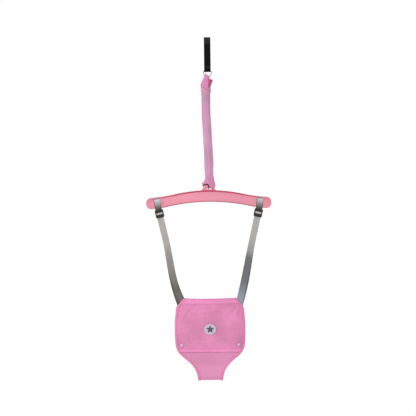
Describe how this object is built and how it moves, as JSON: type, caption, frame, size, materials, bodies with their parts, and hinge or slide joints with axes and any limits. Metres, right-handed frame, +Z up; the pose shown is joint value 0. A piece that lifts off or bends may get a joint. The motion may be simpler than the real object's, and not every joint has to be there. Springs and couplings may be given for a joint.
{
  "type": "baby door jumper",
  "caption": "Baby door jumper: webbing door strap, ring and sleeved coil spring carry an arched spreader bar, webbing with sliders and a fabric seat.",
  "frame": {"origin": "centre of the hanging eye in the fold at the top of the door strap", "axes": "+Z up, +X along the eye's bore and the spreader bar to the right, and the front of the seat faces -Y"},
  "size_m": [0.4752, 0.054, 1.3037],
  "materials": {
    "black_webbing": "woven, matt",
    "steel": "polished wire",
    "spring_steel": "dark oiled wire",
    "sleeve_fabric": "plain weave, slightly sheer",
    "bar_plastic": "moulded, satin",
    "grey_webbing": "woven, slight sheen",
    "slider_plastic": "moulded, satin",
    "seat_fabric": "twill",
    "hem_fabric": "twill, folded",
    "binding_fabric": "bias tape",
    "crotch_fabric": "twill",
    "badge_fabric": "satin patch",
    "snap_plastic": "moulded, gloss"
  },
  "bodies": {
    "door_mount": {"door_strap": "black_webbing", "strap_tab": "black_webbing"},
    "ring": {"d_ring": "steel"},
    "spring_top": {"spring_top_hook": "spring_steel", "spring_coil": "spring_steel", "spring_sleeve": "sleeve_fabric", "safety_strap": "grey_webbing", "sleeve_hanging_tab": "sleeve_fabric"},
    "spring_bottom": {"spring_bottom_hook": "spring_steel"},
    "bar": {"spreader_bar": "bar_plastic", "left_bar_loop": "grey_webbing", "right_bar_loop": "grey_webbing"},
    "seat": {"front_panel": "seat_fabric", "back_panel": "seat_fabric", "crotch_panel": "crotch_fabric", "front_top_hem": "hem_fabric", "back_top_hem": "hem_fabric", "front_lower_hem": "hem_fabric", "badge_patch": "badge_fabric", "left_side_binding": "binding_fabric", "left_leg_binding": "binding_fabric", "left_front_webbing": "grey_webbing", "left_back_webbing": "grey_webbing", "left_snap_cap": "snap_plastic", "left_snap_socket": "snap_plastic", "right_side_binding": "binding_fabric", "right_leg_binding": "binding_fabric", "right_front_webbing": "grey_webbing", "right_back_webbing": "grey_webbing", "right_snap_cap": "snap_plastic", "right_snap_socket": "snap_plastic"},
    "left_adjuster": {"left_slider": "slider_plastic"},
    "right_adjuster": {"right_slider": "slider_plastic"}
  },
  "joints": [
    {"name": "ring_swing", "type": "hinge", "parent": "door_mount", "child": "ring", "pos_m": [0, 0, -0.1211], "axis": [1, 0, 0], "range_deg": [-60, 60]},
    {"name": "spring_rock", "type": "hinge", "parent": "ring", "child": "spring_top", "pos_m": [0, 0, -0.1266], "axis": [0, 1, 0], "range_deg": [-30, 30]},
    {"name": "spring_stretch", "type": "slide", "parent": "spring_top", "child": "spring_bottom", "axis": [0, 0, -1], "range_m": [0, 0.18], "stiffness_N_per_m": 700, "springref_m": -0.05, "deforming": ["spring_coil", "spring_sleeve", "safety_strap"]},
    {"name": "bar_tilt", "type": "hinge", "parent": "spring_bottom", "child": "bar", "pos_m": [0, 0, -0.56805], "axis": [0, 1, 0], "range_deg": [-20, 20]},
    {"name": "seat_swing", "type": "hinge", "parent": "bar", "child": "seat", "pos_m": [0, 0, -0.6435], "axis": [1, 0, 0], "range_deg": [-30, 30]},
    {"name": "right_slider_slide", "type": "slide", "parent": "seat", "child": "right_adjuster", "axis": [-0.2198, 0, -0.9755], "range_m": [0, 0.1]},
    {"name": "left_slider_slide", "type": "slide", "parent": "seat", "child": "left_adjuster", "axis": [0.2198, 0, -0.9755], "range_m": [0, 0.1]}
  ]
}
